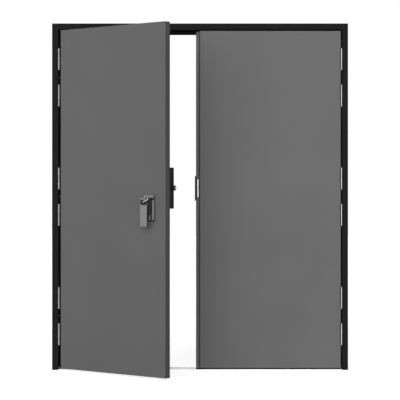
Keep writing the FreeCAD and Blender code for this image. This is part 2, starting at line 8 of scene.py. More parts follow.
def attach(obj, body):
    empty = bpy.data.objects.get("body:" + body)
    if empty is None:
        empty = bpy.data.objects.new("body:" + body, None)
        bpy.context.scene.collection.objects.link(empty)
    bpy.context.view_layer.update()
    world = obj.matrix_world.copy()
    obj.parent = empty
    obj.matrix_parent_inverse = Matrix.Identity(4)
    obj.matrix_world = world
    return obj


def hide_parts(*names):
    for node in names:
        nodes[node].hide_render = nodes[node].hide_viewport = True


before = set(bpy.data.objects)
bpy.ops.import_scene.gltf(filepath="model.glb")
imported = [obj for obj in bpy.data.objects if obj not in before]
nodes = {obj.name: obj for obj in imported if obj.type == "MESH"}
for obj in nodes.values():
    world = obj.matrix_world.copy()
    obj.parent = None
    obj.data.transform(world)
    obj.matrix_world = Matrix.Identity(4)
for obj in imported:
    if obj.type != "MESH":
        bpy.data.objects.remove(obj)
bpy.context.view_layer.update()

# Places on the door, in millimetres. On a leaf, u runs from its pin to the meeting edge, v from its pin
# into the building, and z up from the floor.
MM = 0.001
X, Y, Z = range(3)
PIN_X, PIN_Y = 855, -59
OPEN_ANGLE = math.radians(40)
HINGE_GROUPS = (326.5, 1047.5, 1768.5)
HINGE_SPREAD, HINGE_LENGTH = 110, 129.5
FLAP_SCREWS = ((-48, 20), (-16, 32), (16, 20), (48, 32))
LEAF_FACE, LEAF_INSIDE, HINGE_EDGE, LEADING_EDGE = 9, 51, 3.5, 847.5
LEAF_FOOT, LEAF_HEAD = 11, 2050.5
HANDLE_U, HUB_Z = 732.5, 1021
LATCH_Z, CASE_START, CASE_END, CASE_BACK, CASE_HALF = 1098, 745, 817, 122.5, 118.75
LIP_FRONT, LIP_EDGE, LIP_FOOT, LIP_HEAD = LEAF_INSIDE + 6, 879, 17.5, 2031
STRIKE_FACE, STRIKE_FOOT, STRIKE_HEAD = LEAF_INSIDE + 5, 1023, 1173
STOP_FACE, SEAL_CREST, SEAL_INNER, SEAL_OUTER = -2, -6, 837, 856.5
SEAL_FOOT, SEAL_HEAD = 14, 2050
SOFFIT, SOFFIT_HALF = 2036, 836
SILL_TOP, UPSTAND_TOP = 4, 12.5

WALL = Matrix.Diagonal((MM, MM, MM, 1))
LEFT_JAMB = WALL @ Matrix.Translation((-PIN_X, PIN_Y, 0))
RIGHT_JAMB = WALL @ Matrix.Translation((PIN_X, PIN_Y, 0)) @ Matrix.Diagonal((-1, 1, 1, 1))
ACTIVE = LEFT_JAMB @ Matrix.Rotation(-OPEN_ANGLE, 4, "Z")
PASSIVE = RIGHT_JAMB


# finishes

EVEN, ALONG_X, ALONG_Z, DOWN_STRIKE = (1, 1, 1), (0.04, 1, 1), (1, 1, 0.03), (1, 1, 0.1)
NEUTRAL, ZINC, BRONZE = (1, 1, 1), (1.0, 0.99, 0.96), (1.0, 0.8, 0.5)
# near black of the painted shade beside the hinge barrels' highlight band
BARREL_SHADE = 0.02


class Finish:
    """A node material whose colour, roughness and bump come from patterns in object space."""

    def __init__(self, name, metallic=0.0, specular=0.5):
        self.material = bpy.data.materials.new(name)
        self.material.use_nodes = True
        self.tree = self.material.node_tree
        self.shader = self.tree.nodes["Principled BSDF"]
        self.shader.inputs["Metallic"].default_value = metallic
        self.shader.inputs["Specular IOR Level"].default_value = specular
        self.place = self.node("ShaderNodeTexCoord").outputs["Object"]
        self.normal = None

    def node(self, kind, **settings):
        made = self.tree.nodes.new(kind)
        for key, setting in settings.items():
            if key in made.inputs:
                made.inputs[key].default_value = setting
            else:
                setattr(made, key, setting)
        return made

    def join(self, start, end):
        self.tree.links.new(start, end)

    def noise(self, scale, detail=2.0, stretch=EVEN):
        mapping = self.node("ShaderNodeMapping", Scale=stretch)
        texture = self.node("ShaderNodeTexNoise", Scale=scale, Detail=detail)
        self.join(self.place, mapping.inputs["Vector"])
        self.join(mapping.outputs["Vector"], texture.inputs["Vector"])
        return texture.outputs["Fac"]

    def colour(self, pattern, stops):
        ramp = self.node("ShaderNodeValToRGB")
        marks = ramp.color_ramp.elements
        while len(marks) < len(stops):
            marks.new(0.5)
        for mark, (position, shade) in zip(marks, stops):
            mark.position = position
            mark.color = (*shade, 1)
        self.join(pattern, ramp.inputs["Fac"])
        self.join(ramp.outputs["Color"], self.shader.inputs["Base Color"])

    def roughness(self, pattern, low, high):
        spread = self.node("ShaderNodeMapRange")
        spread.inputs["To Min"].default_value = low
        spread.inputs["To Max"].default_value = high
        self.join(pattern, spread.inputs["Value"])
        self.join(spread.outputs["Result"], self.shader.inputs["Roughness"])

    def bump(self, pattern, strength, height):
        relief = self.node("ShaderNodeBump", Strength=strength, Distance=height)
        self.join(pattern, relief.inputs["Height"])
        if self.normal:
            self.join(self.normal, relief.inputs["Normal"])
        self.normal = relief.outputs["Normal"]
        self.join(self.normal, self.shader.inputs["Normal"])


def grey(level, tint=NEUTRAL):
    return tuple(level * part for part in tint)


def powder_coat(name, level, specular, rough):
    """Baked powder paint: faint clouding, a fine orange-peel skin and tiny specks."""
    paint = Finish(name, specular=specular)
    cloud, peel, specks = paint.noise(2.2, 4), paint.noise(420), paint.noise(1500)
    paint.colour(cloud, [(0.3, grey(level * 0.96)), (0.7, grey(level * 1.04))])
    paint.roughness(paint.noise(9, 3), rough - 0.05, rough + 0.05)
    paint.bump(peel, 0.12, 0.0004)
    paint.bump(specks, 0.1, 0.0002)
    return paint.material


def brushed(name, level, rough, stretch, tint=NEUTRAL):
    """Metal with fine scratches drawn out along one direction."""
    metal = Finish(name, metallic=1.0, specular=0.3)
    grain = metal.noise(260, 5, stretch)
    metal.colour(grain, [(0.3, grey(level * 0.86, tint)), (0.7, grey(level * 1.06, tint))])
    metal.roughness(metal.noise(30, 4, stretch), rough - 0.06, rough + 0.08)
    metal.bump(grain, 0.15, 0.0002)
    return metal.material


def barrel_painted_light_steel(name, level, rough, inner, outer):
    """Brushed steel of the hinges, lighter in a band across the door's width as a painted highlight, and near
    black beside it as painted shade.

    The band runs between two distances from the door's middle, in metres.
    """
    metal = Finish(name, metallic=0.5, specular=0.1)
    grain = metal.noise(260, 5, ALONG_Z)
    middle, half, edge = (inner + outer) / 2, (outer - inner) / 2, 0.0003

    across = metal.node("ShaderNodeSeparateXYZ")
    metal.join(metal.place, across.inputs[0])
    outward = metal.node("ShaderNodeMath", operation="ABSOLUTE")
    metal.join(across.outputs["X"], outward.inputs[0])
    beside = metal.node("ShaderNodeMath", operation="SUBTRACT")
    beside.inputs[1].default_value = middle
    metal.join(outward.outputs[0], beside.inputs[0])
    away = metal.node("ShaderNodeMath", operation="ABSOLUTE")
    metal.join(beside.outputs[0], away.inputs[0])
    shade_mask = metal.node("ShaderNodeMapRange")
    shade_mask.inputs["From Min"].default_value = half - edge
    shade_mask.inputs["From Max"].default_value = half + edge
    metal.join(away.outputs[0], shade_mask.inputs["Value"])

    # grain takes the ramp's lower part, and the painted-shade mask lifts it to the upper end
    blend = metal.node("ShaderNodeMath", operation="MULTIPLY_ADD")
    blend.inputs[1].default_value = 0.4
    metal.join(grain, blend.inputs[0])
    metal.join(shade_mask.outputs["Result"], blend.inputs[2])
    metal.colour(blend.outputs[0], [(0.12, grey(level * 0.86)), (0.28, grey(level * 1.06)),
                                    (0.9, grey(BARREL_SHADE))])
    metal.roughness(metal.noise(30, 4, ALONG_Z), rough - 0.06, rough + 0.08)
    metal.bump(grain, 0.15, 0.0002)
    return metal.material


def cast_metal(name, level, rough, metallic=1.0):
    """Satin casting with a fine blasted grain and soft patches."""
    metal = Finish(name, metallic=metallic, specular=0.3)
    metal.colour(metal.noise(35, 4), [(0.3, grey(level * 0.92)), (0.7, grey(level * 1.05))])
    metal.roughness(metal.noise(60, 3), rough - 0.05, rough + 0.07)
    metal.bump(metal.noise(1800), 0.2, 0.0002)
    return metal.material


def moulded(name, level, rough):
    """Black rubber with a faint dusty bloom."""
    skin = Finish(name, specular=0.0)
    skin.colour(skin.noise(40, 4), [(0.35, grey(level * 0.8)), (0.7, grey(level * 1.5))])
    skin.roughness(skin.noise(25), rough - 0.05, rough + 0.08)
    skin.bump(skin.noise(900), 0.2, 0.0002)
    return skin.material


frame_paint = powder_coat("black_frame_paint", 0.0098, 0.08, 0.42)
leaf_paint = powder_coat("grey_leaf_paint", 0.149, 0.08, 0.5)
# a darker copy of the leaf grey for the open leaf's outer skin: painted shade for its turn away from the light
open_leaf_shaded_paint = powder_coat("grey_open_leaf_shaded_paint", 0.132, 0.08, 0.5)
lock_black = powder_coat("black_lock_coat", 0.018, 0.07, 0.45)
strike_black = powder_coat("black_strike_coat", 0.046, 0.02, 0.6)
# a lighter copy of the leaf grey for the lip, its edging and the strike's end caps: painted light
lip_lit_paint = powder_coat("grey_lip_lit_paint", 0.178, 0.05, 0.55)
sill_metal = brushed("mill_aluminium", 0.97, 0.45, ALONG_X)
# the hinges' two sides differ in brightness and band: lit copies, as painted light
left_hinge_painted_light = barrel_painted_light_steel("satin_left_hinge_painted_light", 0.49, 0.45, 0.84, 0.8562)
right_hinge_painted_light = barrel_painted_light_steel("satin_right_hinge_painted_light", 0.64, 0.45, 0.851, 0.8566)
bolt_steel = brushed("zinc_bolt_steel", 0.6, 0.35, EVEN, ZINC)
handle_metal = cast_metal("satin_handle_casting", 0.231, 0.5, 0.15)
# a lighter copy of the handle casting for the boss front: painted light
boss_lit_metal = cast_metal("boss_casting_lit_copy", 0.26, 0.5, 0.15)
strike_steel = brushed("ground_strike_steel", 0.85, 0.25, DOWN_STRIKE)
rose_metal = powder_coat("blackened_rose", 0.014, 0.05, 0.5)
cylinder_metal = cast_metal("nickel_cylinder", 0.1, 0.25)
turn_metal = cast_metal("satin_turn", 0.27, 0.3)
# near white, for the thumb turn's tip and the collar: painted highlights
highlight_metal = cast_metal("painted_highlight_casting", 0.95, 0.2)
latch_steel = brushed("dark_latch_steel", 0.26, 0.4, EVEN)
# a darker grey for the open leaf's leading edge: painted shade
edge_shade_paint = powder_coat("shaded_edge_paint", 0.091, 0.05, 0.55)
# black rubber, used for real seals and for sheets of painted shade
seal_rubber_and_shade = moulded("seal_rubber_and_shade", 0.008, 0.6)
washer_bronze = brushed("washer_bronze", 0.4, 0.35, EVEN, BRONZE)


def paint_node(name, material):
    mesh = nodes[name].data
    mesh.materials.clear()
    mesh.materials.append(material)


# shaping

NEAR = 1e-4
CREASE = math.radians(32)


def box(bm, low, high):
    """A block between two corners. Gives its edges."""
    low, high = Vector(low), Vector(high)
    size = Matrix.Diagonal((*(high - low), 1))
    made = bmesh.ops.create_cube(bm, size=1, matrix=Matrix.Translation((low + high) / 2) @ size)
    return list({edge for vert in made["verts"] for edge in vert.link_edges})


def bevel(bm, edges, size, steps=3):
    bmesh.ops.bevel(bm, geom=edges, offset=size, offset_type="OFFSET", affect="EDGES", segments=steps,
                    profile=0.5, material=-1, clamp_overlap=True)


def running(edges, axis):
    """The edges that run along an axis."""
    others = [index for index in (X, Y, Z) if index != axis]
    return [edge for edge in edges
            if all(abs(edge.verts[0].co[index] - edge.verts[1].co[index]) < NEAR for index in others)]


def level_with(edges, axis, place):
    """The edges that lie in one plane across an axis."""
    return [edge for edge in edges if all(abs(vert.co[axis] - place) < NEAR for vert in edge.verts)]


def slab(bm, low, high, axis, corner, rims=(), rim_size=0.0, steps=6):
    """A plate with rounded corners, seen along an axis, and softened rims at given levels of it."""
    before = set(bm.edges)
    edges = box(bm, low, high)
    bevel(bm, running(edges, axis), corner, steps)
    fresh = [edge for edge in bm.edges if edge not in before]
    for place in rims:
        bevel(bm, level_with([edge for edge in fresh if edge.is_valid], axis, place), rim_size, 2)


def rounded_box(bm, low, high, size, steps=3):
    bevel(bm, box(bm, low, high), size, steps)


def turned(bm, profile, place, steps=40):
    """A turned form from radius and height pairs, spun round Z and then put in place."""
    verts = [bm.verts.new((radius, 0, height)) for radius, height in profile]
    edges = [bm.edges.new(pair) for pair in zip(verts, verts[1:])]
    before = set(bm.verts) - set(verts)
    bmesh.ops.spin(bm, geom=verts + edges, cent=(0, 0, 0), axis=(0, 0, 1), angle=math.tau, steps=steps,
                   use_merge=True)
    fresh = [vert for vert in bm.verts if vert not in before]
    bmesh.ops.remove_doubles(bm, verts=fresh, dist=NEAR)
    fresh = [vert for vert in bm.verts if vert not in before]
    faces = list({face for vert in fresh for face in vert.link_faces})
    bmesh.ops.recalc_face_normals(bm, faces=faces)
    bmesh.ops.transform(bm, matrix=place, verts=fresh)


def facing(centre, normal):
    """Puts a form that stands on Z at a point, standing along a direction."""
    turn = Vector((0, 0, 1)).rotation_difference(Vector(normal)).to_matrix().to_4x4()
    return Matrix.Translation(centre) @ turn


def screw(bm, centre, normal, radius, proud):
    """A low screw head with a socket."""
    socket, sunk = proud * 0.2, -0.3
    turned(bm, [(0, socket), (radius * 0.42, socket), (radius * 0.5, proud), (radius * 0.8, proud),
                (radius, proud * 0.35), (radius, sunk), (0, sunk)], facing(centre, normal), 16)


def piece(name, bm, place, body, material, stands_for=()):
    """Makes the drawn form an object at the origin, in metres, riding on a body."""
    bmesh.ops.transform(bm, matrix=place, verts=bm.verts)
    if place.to_3x3().determinant() < 0:
        bmesh.ops.reverse_faces(bm, faces=bm.faces)
    mesh = bpy.data.meshes.new(name)
    bm.to_mesh(mesh)
    bm.free()
    mesh.shade_smooth()
    mesh.set_sharp_from_angle(angle=CREASE)
    mesh.materials.append(material)
    made = bpy.data.objects.new(name, mesh)
    bpy.context.scene.collection.objects.link(made)
    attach(made, body)
    if stands_for:
        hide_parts(*stands_for)


# finishes of the carried-over solids

finishes = {
    "left_jamb": frame_paint, "right_jamb": frame_paint, "head": frame_paint, "threshold": sill_metal,
    "latch_case": lock_black, "push_pad": lock_black, "lever_neck": strike_black, "latch_bolt": latch_steel,
    "handle_backplate": handle_metal, "lever": handle_metal, "lever_rose": rose_metal,
    "key_cylinder": cylinder_metal, "meeting_lip": lip_lit_paint, "strike_body": strike_black,
    "strike_insert": strike_steel, "active_outer_skin": open_leaf_shaded_paint,
}
for name in nodes:
    if name in finishes:
        paint_node(name, finishes[name])
    elif "hinge" in name:
        paint_node(name, left_hinge_painted_light if name.startswith("left") else right_hinge_painted_light)
    elif "bolt" in name:
        paint_node(name, bolt_steel)
    else:
        paint_node(name, leaf_paint)


# outside handle

def handle_plates():
    """A stepped plate: silver plate and hood, and a boss in a lighter copy of the casting as painted light, on
    a black backing that carries sheets of painted shade.
    """
    plate_face, boss_face, hood_face = 1, -8, -4
    silver, boss, backing = bmesh.new(), bmesh.new(), bmesh.new()
    for fronts, low, high, front, back, corner in (
            (silver, (694.5, 913.2), (770.5, 1058.5), plate_face, LEAF_FACE, 6),
            (boss, (709.5, 912), (754.5, 1042.5), boss_face, plate_face, 2),
            (silver, (696.5, 1042.5), (768.5, 1056.5), hood_face, plate_face, 2)):
        slab(fronts, (low[0], front, low[1]), (high[0], front + 2, high[1]), Y, corner, [front], 0.8)
        slab(backing, (low[0] + 0.3, front + 1.6, low[1] + 0.3),
             (high[0] - 0.3, back + 0.2, high[1] - 0.3), Y, corner)
    for low, high, corner in (
            ((694.8, 2.6, 909.3), (770.2, 9.2, 940), 6),          # foot of the plate, black below its silver as painted shade
            ((696, 0.4, 1030), (769, 2, 1042), 0.5),              # painted shadow under the hood
            ((711, -8.4, 914), (737.5, -7, 1041), 2),             # painted shadow of the lever on the boss, hinge side
            ((711, -8.4, 1020), (754, -7, 1042), 2),              # painted shade across the boss's top
            ((751.5, -8.4, 912.5), (754.8, -7, 1042), 1),         # painted shade on the boss, edge side
            ((693.4, 8.2, 905.5), (771.7, 9.2, 1059.6), 6.5)):    # painted shade round the plate on the leaf
        slab(backing, low, high, Y, corner)
    for name, bm, material, slot in (
            ("handle_plate_fronts", silver, handle_metal, "handle_metal"),
            ("handle_boss_front", boss, boss_lit_metal, "handle_metal"),
            ("handle_plate_backing_and_shade", backing, lock_black, "lock_black")):
        piece(name, bm, ACTIVE, "active_leaf", material, ["handle_backplate"])


def hanging_slab(bm, front, back, inset, lift):
    """The drop lever's outline, rounded more at its top than at its foot."""
    half, top, foot = 26.25 - inset, HUB_Z + 20.5 - inset, HUB_Z - 146 + lift
    edges = running(box(bm, (HANDLE_U - half, front, foot), (HANDLE_U + half, back, top)), Y)
    bevel(bm, [edge for edge in edges if edge.verts[0].co.z > HUB_Z], 11, 8)
    bevel(bm, [edge for edge in edges if edge.is_valid and edge.verts[0].co.z < HUB_Z], 4, 5)


def lever_set():
    """From back to front: stem, core, face, rose, key cylinder and thumb turn. A collar is beside the core."""
    stem_back, core_back, core_front, face_front, rose_front = -9, -40.5, -47, -49.5, -52.5
    bm = bmesh.new()
    slab(bm, (HANDLE_U - 25, core_back, HUB_Z - 83), (HANDLE_U + 25, stem_back, HUB_Z + 17), Y, 24.9,
         steps=16)
    turned(bm, [(0, 0), (8, 0), (8, 14), (0, 14)],
           facing((HANDLE_U, stem_back - 0.5, HUB_Z), (0, 1, 0)), 32)
    piece("lever_stem", bm, ACTIVE, "lever", strike_black, ["lever_neck"])

    bm = bmesh.new()
    hanging_slab(bm, core_front, core_back, 0, 0)
    bevel(bm, level_with(bm.edges, Y, core_back), 1.0, 2)
    piece("lever_core", bm, ACTIVE, "lever", lock_black, ["lever"])

    bm = bmesh.new()
    # the face stops 1.4 mm above the core's foot, so a black line of the core shows under it as painted shade
    hanging_slab(bm, face_front, core_front + 0.1, 0.2, 1.4)
    bevel(bm, level_with(bm.edges, Y, face_front), 0.8, 2)
    piece("lever_face", bm, ACTIVE, "lever", handle_metal, ["lever"])

    rose_back, block_front = face_front + 0.2, rose_front + 0.3
    bm = bmesh.new()
    slab(bm, (HANDLE_U - 21, rose_front, HUB_Z - 19), (HANDLE_U + 25.8, rose_back, HUB_Z + 10.5), Y, 10,
         [rose_front], 1, 12)
    slab(bm, (HANDLE_U + 16.7, block_front, HUB_Z + 4), (HANDLE_U + 25.8, rose_back, HUB_Z + 18.5), Y, 4,
         [block_front], 0.8)
    piece("lever_rose_plate", bm, ACTIVE, "lever", rose_metal, ["lever_rose"])

    front = facing((HANDLE_U - 0.5, -51.2, HUB_Z - 2.5), (0, -1, 0))
    bm = bmesh.new()
    turned(bm, [(0, 2), (7.6, 2), (8.6, 1.6), (8.9, 0.7), (0, 0.7)], front)
    piece("cylinder_plug", bm, ACTIVE, "lever", cylinder_metal, ["key_cylinder"])

    tilt = front @ Matrix.Rotation(math.radians(21), 4, "Z")
    bm = bmesh.new()
    slab(bm, (1, -5, 1), (29.2, 5, 2.8), Z, 4.6, [2.8], 0.6)
    bmesh.ops.transform(bm, matrix=tilt, verts=bm.verts)
    piece("thumb_turn", bm, ACTIVE, "lever", turn_metal)

    # the tip is near white: a painted highlight
    bm = bmesh.new()
    turned(bm, [(0, 3.3), (2, 3.2), (3.2, 2.9), (3.5, 2), (0, 2)],
           tilt @ Matrix.Translation((25.4, 0.8, 0)), 28)
    piece("thumb_turn_tip", bm, ACTIVE, "lever", highlight_metal)

    # the collar is near white: a painted highlight
    bm = bmesh.new()
    rounded_box(bm, (HANDLE_U + 19, -46.5, HUB_Z + 6.5), (HANDLE_U + 27, -30, HUB_Z + 18.8), 1.2)
    piece("lever_collar", bm, ACTIVE, "lever", highlight_metal)


# latch on the inside of the active leaf

def latch_set():
    foot, top, step = LATCH_Z - CASE_HALF, LATCH_Z + CASE_HALF, 1.5
    bm = bmesh.new()
    rounded_box(bm, (CASE_START + step, LEAF_INSIDE, foot + step),
                (CASE_END - step, LEAF_INSIDE + 9, top - step), 1)
    rounded_box(bm, (CASE_START, LEAF_INSIDE + 7.5, foot), (CASE_END, CASE_BACK, top), 2)
    piece("latch_housing", bm, ACTIVE, "active_leaf", lock_black, ["latch_case"])

    bm = bmesh.new()
    near, far, plate = CASE_BACK - 24, CASE_BACK - 2.2, CASE_END + 1.2
    rounded_box(bm, (CASE_END, near, LATCH_Z - 27), (plate, far, LATCH_Z - 17), 0.4, 2)
    rounded_box(bm, (CASE_END, near, LATCH_Z + 17), (plate, far, LATCH_Z + 27), 0.4, 2)
    rounded_box(bm, (CASE_END, near, LATCH_Z - 17), (plate, near + 4.5, LATCH_Z + 17), 0.4, 2)
    for lift in (-22, 22):
        screw(bm, (plate, CASE_BACK - 13, LATCH_Z + lift), (1, 0, 0), 2.6, 0.8)
    for lift in (-98, 98):
        screw(bm, (CASE_END, CASE_BACK - 36, LATCH_Z + lift), (1, 0, 0), 4, 1.6)
        for across in (CASE_START + 11, CASE_END - 11):
            screw(bm, (across, CASE_BACK, LATCH_Z + lift), (0, 1, 0), 4, 1.6)
    piece("latch_faceplate", bm, ACTIVE, "active_leaf", lock_black)

    pad_face, rib_face = CASE_BACK + 8, CASE_BACK + 8.8
    bm = bmesh.new()
    slab(bm, (758, CASE_BACK, LATCH_Z - 65), (804, pad_face, LATCH_Z + 65), Y, 6, [pad_face], 2.5)
    for lift in range(-40, 41, 10):
        middle = LATCH_Z + lift
        rounded_box(bm, (767, CASE_BACK + 7.5, middle - 1.5), (795, rib_face, middle + 1.5), 0.5, 2)
    piece("push_pad_grip", bm, ACTIVE, "active_leaf", lock_black, ["push_pad"])

    tip, back, slant = 839.5, CASE_BACK - 2, 4.5
    bm = bmesh.new()
    box(bm, (776, back - 15.5, LATCH_Z - 14.5), (tip, back, LATCH_Z + 15.5))
    cut = bmesh.ops.bisect_plane(bm, geom=bm.verts[:] + bm.edges[:] + bm.faces[:], clear_outer=True,
                                 plane_co=(tip, back - slant, LATCH_Z), plane_no=(slant, 8, 0))
    rim = [item for item in cut["geom_cut"] if isinstance(item, bmesh.types.BMEdge)]
    bmesh.ops.holes_fill(bm, edges=rim)
    bevel(bm, bm.edges[:], 0.7, 2)
    piece("latch_tongue", bm, ACTIVE, "latch_bolt", latch_steel, ["latch_bolt"])


# meeting edge

def meeting_edge():
    edge, inside = LEADING_EDGE + 0.3, LEAF_INSIDE + 0.2
    # The leading edge and its inside corner get a strip of darker grey: painted shade, darker than the
    # lighting gives there.
    bm = bmesh.new()
    rounded_box(bm, (LEADING_EDGE - 0.6, 12.4, LEAF_FOOT), (edge, inside, LEAF_HEAD), 0.25, 2)
    rounded_box(bm, (LEADING_EDGE - 5.5, LEAF_INSIDE - 5, LEAF_FOOT), (edge, inside, LEAF_HEAD), 1, 2)
    piece("leading_edge_shade_strip", bm, ACTIVE, "active_leaf", edge_shade_paint)

    plate_face, cap_face = STRIKE_FACE - 0.5, STRIKE_FACE - 0.4
    bm = bmesh.new()
    slab(bm, (861, plate_face, 1044.25), (873.2, STRIKE_FACE + 1.5, 1151.75), Y, 4, [plate_face], 0.4)
    piece("strike_plate", bm, PASSIVE, "passive_leaf", strike_steel, ["strike_insert"])

    bm = bmesh.new()
    for low, high in ((STRIKE_FOOT + 1, 1043.4), (1152.6, STRIKE_HEAD - 1)):
        slab(bm, (859, cap_face, low), (876, STRIKE_FACE + 1, high), Y, 1.5, [cap_face], 0.3)
    piece("strike_end_caps", bm, PASSIVE, "passive_leaf", lip_lit_paint)

    bm = bmesh.new()
    for centre in ((867, STRIKE_FACE, 1033.5), (867, STRIKE_FACE, 1162.5), (866, LIP_FRONT, 1003)):
        screw(bm, centre, (0, -1, 0), 4, 1.2)
    piece("strike_screws", bm, PASSIVE, "passive_leaf", latch_steel)

    # a rubber meeting seal on the lip, black here also as painted shade in the corner beside the passive
    # leaf's edge
    bm = bmesh.new()
    for low, high in ((LIP_FOOT, STRIKE_FOOT), (STRIKE_HEAD, LIP_HEAD)):
        rounded_box(bm, (857, LIP_FRONT - 4, low), (859.6, LIP_FRONT, high), 0.8)
    piece("meeting_seal_and_shade", bm, PASSIVE, "passive_leaf", seal_rubber_and_shade)

    bm = bmesh.new()
    for end, tip, hold in ((LIP_FOOT, 8.4, 24), (LIP_HEAD, 2049, 2024)):
        for reach, depth in ((tip, LIP_FRONT - 0.6), (hold, LIP_FRONT + 0.3)):
            low, high = sorted((end, reach))
            rounded_box(bm, (852, LIP_FRONT - 3, low), (LIP_EDGE, depth, high), 0.6, 2)
    for low, high in ((LIP_FOOT + 0.1, STRIKE_FOOT), (STRIKE_HEAD, LIP_HEAD - 0.1)):
        rounded_box(bm, (LIP_EDGE - 0.6, LIP_FRONT - 0.2, low),
                    (LIP_EDGE + 0.9, LIP_FRONT + 2.2, high), 0.5, 2)
    piece("lip_edging", bm, PASSIVE, "passive_leaf", lip_lit_paint)


# hinges and dog bolts

def hinge_details():
    leaf_middle = (LEAF_FACE + LEAF_INSIDE) / 2
    for side, leaf_name, jamb, leaf, pin_metal_and_shade, pin_slot in (
            ("left", "active", LEFT_JAMB, ACTIVE, bolt_steel, "bolt_steel"),
            # the passive leaf's dog pins are black: painted shade in the hinge gap
            ("right", "passive", RIGHT_JAMB, PASSIVE, lock_black, "lock_black")):
        body = f"{leaf_name}_leaf"
        frame_screws, leaf_screws, washers = bmesh.new(), bmesh.new(), bmesh.new()
        for group in HINGE_GROUPS:
            for way in (-1, 1):
                middle = group + way * HINGE_SPREAD
                for lift, depth in FLAP_SCREWS:
                    screw(frame_screws, (0, depth, middle + lift), (1, 0, 0), 3.8, 0.35)
                    screw(leaf_screws, (1.5, depth, middle + lift), (-1, 0, 0), 3.8, 0.35)
                turned(washers, [(3.6, -0.2), (6.9, -0.2), (6.9, 0.2), (3.6, 0.2), (3.6, -0.2)],
                       Matrix.Translation((0, 0, middle)), 24)
        piece(f"{side}_frame_hinge_screws", frame_screws, jamb, "frame", bolt_steel)
        piece(f"{side}_leaf_hinge_screws", leaf_screws, leaf, body, bolt_steel)
        piece(f"{side}_hinge_washers", washers, jamb, "frame", washer_bronze)

        bm = bmesh.new()
        for group in HINGE_GROUPS:
            turned(bm, [(0, 20), (4.2, 20), (6, 18), (6, 1.4), (9, 1.0), (9.4, 0), (0, 0)],
                   facing((HINGE_EDGE, leaf_middle, group), (-1, 0, 0)), 28)
        piece(f"{leaf_name}_dog_pins", bm, leaf, body, pin_metal_and_shade, [f"{leaf_name}_dog_bolts"])


def leaf_edge_shade():
    """Black rubber bound over the leaves' front edges, as painted shade along the gaps and hinges."""
    front, back, edge = LEAF_FACE - 0.4, LEAF_FACE + 1, HINGE_EDGE - 0.3
    bm = bmesh.new()
    rounded_box(bm, (edge, front, LEAF_FOOT), (11, back, LEAF_HEAD), 0.3, 2)
    piece("active_hinge_edge_shade", bm, ACTIVE, "active_leaf", seal_rubber_and_shade)

    bm = bmesh.new()
    rounded_box(bm, (5, front, 2049.3), (854, back, 2052.2), 0.3, 2)
    rounded_box(bm, (5, front, 9.3), (854, back, 11.4), 0.3, 2)
    rounded_box(bm, (edge, front, LEAF_FOOT), (4.7, back, LEAF_HEAD), 0.3, 2)
    for group in HINGE_GROUPS:
        for way in (-1, 1):
            middle, half = group + way * HINGE_SPREAD, HINGE_LENGTH / 2
            rounded_box(bm, (4.2, front, middle - half), (8.5, back, middle + half), 0.3, 2)
    piece("passive_edge_shade", bm, PASSIVE, "passive_leaf", seal_rubber_and_shade)


# seals, sill fixings and black sheets of painted shade

def frame_seals_and_shade():
    bm = bmesh.new()
    # The seals run wide over the stop's face: a real seal, and black over the rest of the face as painted
    # shade.
    for sign in (-1, 1):
        inner, outer = sorted((sign * SEAL_INNER, sign * SEAL_OUTER))
        edges = box(bm, (inner, SEAL_CREST, SEAL_FOOT), (outer, STOP_FACE, SEAL_HEAD))
        bevel(bm, level_with(running(edges, Z), Y, SEAL_CREST), 2.6, 5)
    for start, end in ((-SEAL_INNER, -28), (7, SEAL_INNER)):
        edges = box(bm, (start, SEAL_CREST, SOFFIT + 1), (end, STOP_FACE, 2056.5))
        bevel(bm, level_with(running(edges, X), Y, SEAL_CREST), 2.6, 5)
    piece("frame_seals_and_shade", bm, WALL, "frame", seal_rubber_and_shade)

    # thin black beads on the jambs' inner front edges: painted shade beside the gaps
    bm = bmesh.new()
    for sign in (-1, 1):
        inner, outer = sorted((sign * 855.8, sign * 858.2))
        rounded_box(bm, (inner, -50.5, SEAL_FOOT), (outer, -49, SEAL_HEAD), 0.3, 2)
    piece("jamb_edge_shade_beads", bm, WALL, "frame", seal_rubber_and_shade)

    # a black sheet under the head's soffit: painted shade
    bm = bmesh.new()
    rounded_box(bm, (-SOFFIT_HALF, -1.8, SOFFIT - 0.8), (SOFFIT_HALF, 46, SOFFIT + 0.2), 0.3, 2)
    rounded_box(bm, (-SOFFIT_HALF, 40, SOFFIT - 2.6), (SOFFIT_HALF, 46, SOFFIT - 0.4), 0.6, 2)
    piece("soffit_shade_sheet", bm, WALL, "frame", seal_rubber_and_shade)

    # black pads on the sill and its upstand under the passive leaf: painted shade under the leaf
    start, end, foot, back = -24, 853, SILL_TOP - 0.2, STOP_FACE - 0.2
    bm = bmesh.new()
    rounded_box(bm, (start, -49.5, foot), (end, back, 5), 0.5, 2)
    rounded_box(bm, (start, -6.2, foot), (end, back, 7.3), 0.8, 2)
    piece("sill_shade_pad", bm, WALL, "frame", seal_rubber_and_shade)

    bm = bmesh.new()
    for sign in (-1, 1):
        inner, outer = sorted((sign * (SEAL_INNER + 1), sign * SEAL_OUTER))
        rounded_box(bm, (inner, SEAL_CREST, foot), (outer, STOP_FACE, SEAL_FOOT - 0.2), 0.8)
    piece("sill_end_caps", bm, WALL, "frame", sill_metal)

    bm = bmesh.new()
    for across in (-780, -390, 0, 390, 780):
        screw(bm, (across, 33, SILL_TOP), (0, 0, 1), 5, 1.0)
    piece("sill_screws", bm, WALL, "frame", bolt_steel)


# shoot bolts on the inside of the passive leaf

